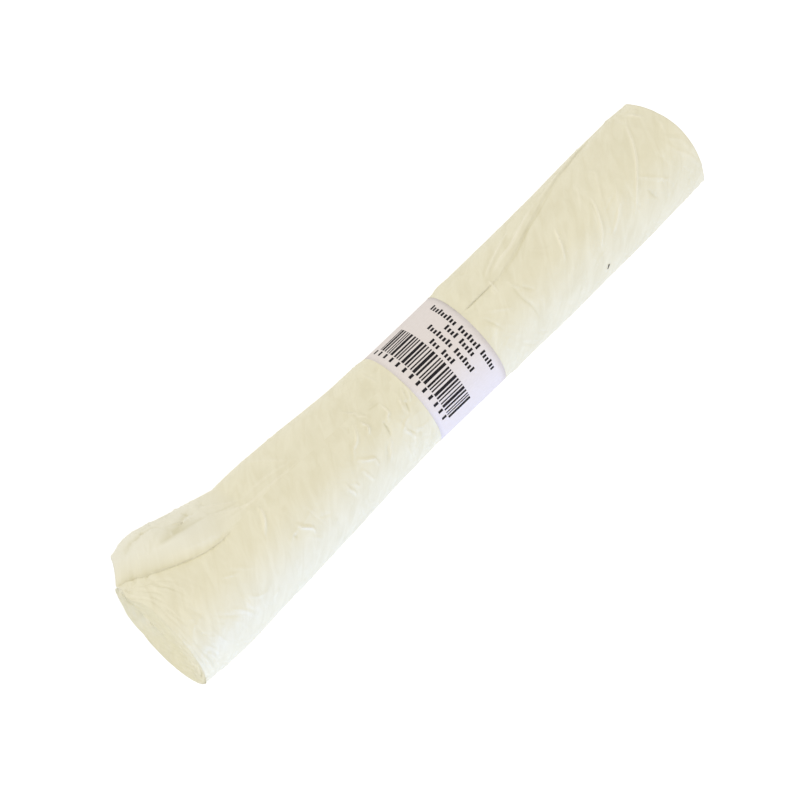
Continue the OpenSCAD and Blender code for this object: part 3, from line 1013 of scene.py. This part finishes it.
# Lines of ticks: place along the roll, angle where the line starts, and the ticks in each word
LINES = [
    (12.4, 23, (3, 4)),
    (16.5, 37, (8, 7)),
    (20.7, 23, (4, 5)),
    (24.2, 55, (9, 7, 6)),
]
lines = []
for line_x, start, words in LINES:
    lines += tick_row(line_x, start, words, (2.5, 1.0), 0.68, 1.5)
lines += tick_row(TICKS_X, 70, (1,) * 13, TICK_SIZE, 0.0, 2.6)
print_lines = print_plates("print_lines", lines)
finish_piece(print_lines, "paper")


# A dark speck that lies on the film

def speck():
    """A bent sliver, given by its place along and round the roll, and its length and width."""
    place = (88.6, -58.0)
    length, width, lean = 1.35, 0.28, math.radians(43)
    centre = section_point(np.float64(place[0]), radius(np.float64(place[0])) + 0.35, place[1], 0.0)
    a = math.radians(place[1])
    out = np.array([0, math.sin(a), math.cos(a)])
    along = np.array([math.cos(lean), math.sin(lean) * math.cos(a), -math.sin(lean) * math.sin(a)])
    across = np.cross(out, along)
    rings = []
    for t in np.linspace(-1, 1, 9):
        half = width * math.sqrt(max(0.02, 1 - t * t)) * (1 + 0.25 * math.sin(5 * t))
        spine = centre + along * length * t + across * 0.12 * math.sin(2.5 * t)
        ring = [spine + across * half * math.cos(b) + out * 0.45 * half * math.sin(b)
                for b in np.linspace(0, 2 * math.pi, 8, endpoint=False)]
        rings.append(ring)
    faces = ring_walls(9, 8).tolist() + [list(range(8)), list(range(64, 72))[::-1]]
    return mesh_piece("dark_speck", np.array(rings), faces, SPECK)


dark_speck = speck()
finish_piece(dark_speck, "film")


# Floor, light and camera

IMAGE_PX = 800
MM_PER_PX = 0.397
VIEW_TILT = math.radians(14.0)
CAMERA_DISTANCE = 2.6
SENSOR_MM = 36.0
# Angle of the roll's axis in the picture, and the pixel where the middle of the roll shows
ROLL_IN_PICTURE = math.radians(43.6)
MIDDLE_PX = (414.2, 384.4)
MIDDLE_HEIGHT = 22.0


def camera():
    """Looks down on the roll, tilted so that the loose end's face just shows."""
    back = Vector((-math.sin(VIEW_TILT), 0, math.cos(VIEW_TILT)))
    along = Vector((math.cos(VIEW_TILT), 0, math.sin(VIEW_TILT)))
    across = -back.cross(along)
    c, s = math.cos(ROLL_IN_PICTURE), math.sin(ROLL_IN_PICTURE)
    right = along * c + across * s
    up = along * s - across * c
    off_x = (IMAGE_PX / 2 - MIDDLE_PX[0]) * MM_PER_PX * MM
    off_y = (MIDDLE_PX[1] - IMAGE_PX / 2) * MM_PER_PX * MM
    target = Vector((0, 0, MIDDLE_HEIGHT * MM)) + right * off_x + up * off_y
    data = bpy.data.cameras.new("camera")
    data.sensor_width = SENSOR_MM
    data.lens = SENSOR_MM * CAMERA_DISTANCE / (IMAGE_PX * MM_PER_PX * MM)
    data.clip_end = 20
    eye = bpy.data.objects.new("camera", data)
    place = Matrix((right, up, back)).transposed().to_4x4()
    place.translation = target + back * CAMERA_DISTANCE
    eye.matrix_world = place
    bpy.context.collection.objects.link(eye)
    bpy.context.scene.camera = eye


def area_lamp(name, place, target, size, power, colour):
    data = bpy.data.lights.new(name, "AREA")
    data.shape = "RECTANGLE"
    data.size, data.size_y = size
    data.energy = power
    data.color = colour
    lamp = bpy.data.objects.new(name, data)
    lamp.location = place
    lamp.rotation_euler = (Vector(target) - Vector(place)).to_track_quat("-Z", "Y").to_euler()
    bpy.context.collection.objects.link(lamp)


def floor():
    """White floor that shows white to the camera and keeps a soft shadow."""
    mesh = bpy.data.meshes.new("floor")
    half = 6.0
    corners = [(-half, -half, 0), (half, -half, 0), (half, half, 0), (-half, half, 0)]
    mesh.from_pydata(corners, [], [(0, 1, 2, 3)])
    piece = bpy.data.objects.new("floor", mesh)
    piece.location.z = -0.0002
    bpy.context.collection.objects.link(piece)
    material = bpy.data.materials.new("white_floor")
    material.use_nodes = True
    tree = material.node_tree
    tree.nodes.clear()
    new, link = tree.nodes.new, tree.links.new
    out = new("ShaderNodeOutputMaterial")
    matt = new("ShaderNodeBsdfDiffuse")
    matt.inputs["Color"].default_value = (0.3, 0.3, 0.3, 1)
    glow = new("ShaderNodeEmission")
    glow.inputs["Color"].default_value = (1, 1, 1, 1)
    glow.inputs["Strength"].default_value = 0.88
    both = new("ShaderNodeAddShader")
    path = new("ShaderNodeLightPath")
    seen = new("ShaderNodeMath")
    seen.operation = "MAXIMUM"
    link(path.outputs["Is Camera Ray"], seen.inputs[0])
    link(path.outputs["Is Glossy Ray"], seen.inputs[1])
    mix = new("ShaderNodeMixShader")
    bounce = new("ShaderNodeBsdfDiffuse")
    bounce.inputs["Color"].default_value = (0.8, 0.8, 0.8, 1)
    link(matt.outputs["BSDF"], both.inputs[0])
    link(glow.outputs["Emission"], both.inputs[1])
    link(seen.outputs["Value"], mix.inputs["Fac"])
    link(bounce.outputs["BSDF"], mix.inputs[1])
    link(both.outputs["Shader"], mix.inputs[2])
    link(mix.outputs["Shader"], out.inputs["Surface"])
    mesh.materials.append(material)


def surroundings():
    """Even warm light from all round."""
    world = bpy.data.worlds.new("room")
    bpy.context.scene.world = world
    world.use_nodes = True
    back = world.node_tree.nodes["Background"]
    back.inputs["Color"].default_value = (1.0, 0.965, 0.89, 1)
    back.inputs["Strength"].default_value = 0.79


camera()
floor()
surroundings()
area_lamp("window", (0.9, -1.2, 0.8), (0, 0, 0), (0.5, 0.4), 2.6, (1.0, 0.97, 0.92))
area_lamp("room lamp", (-0.8, 1.3, 1.0), (0, 0, 0), (0.5, 0.4), 4.7, (1.0, 0.96, 0.85))
area_lamp("low light", (-0.7, -0.5, 0.25), (-0.145, 0, 0.02), (0.3, 0.3), 0.75, (0.95, 0.95, 1.0))
area_lamp("cool sky", (-0.13, -0.45, 0.05), (-0.06, 0, 0.02), (0.24, 0.08), 0.8, (0.25, 0.45, 1.0))
bpy.context.scene.view_settings.view_transform = "Standard"
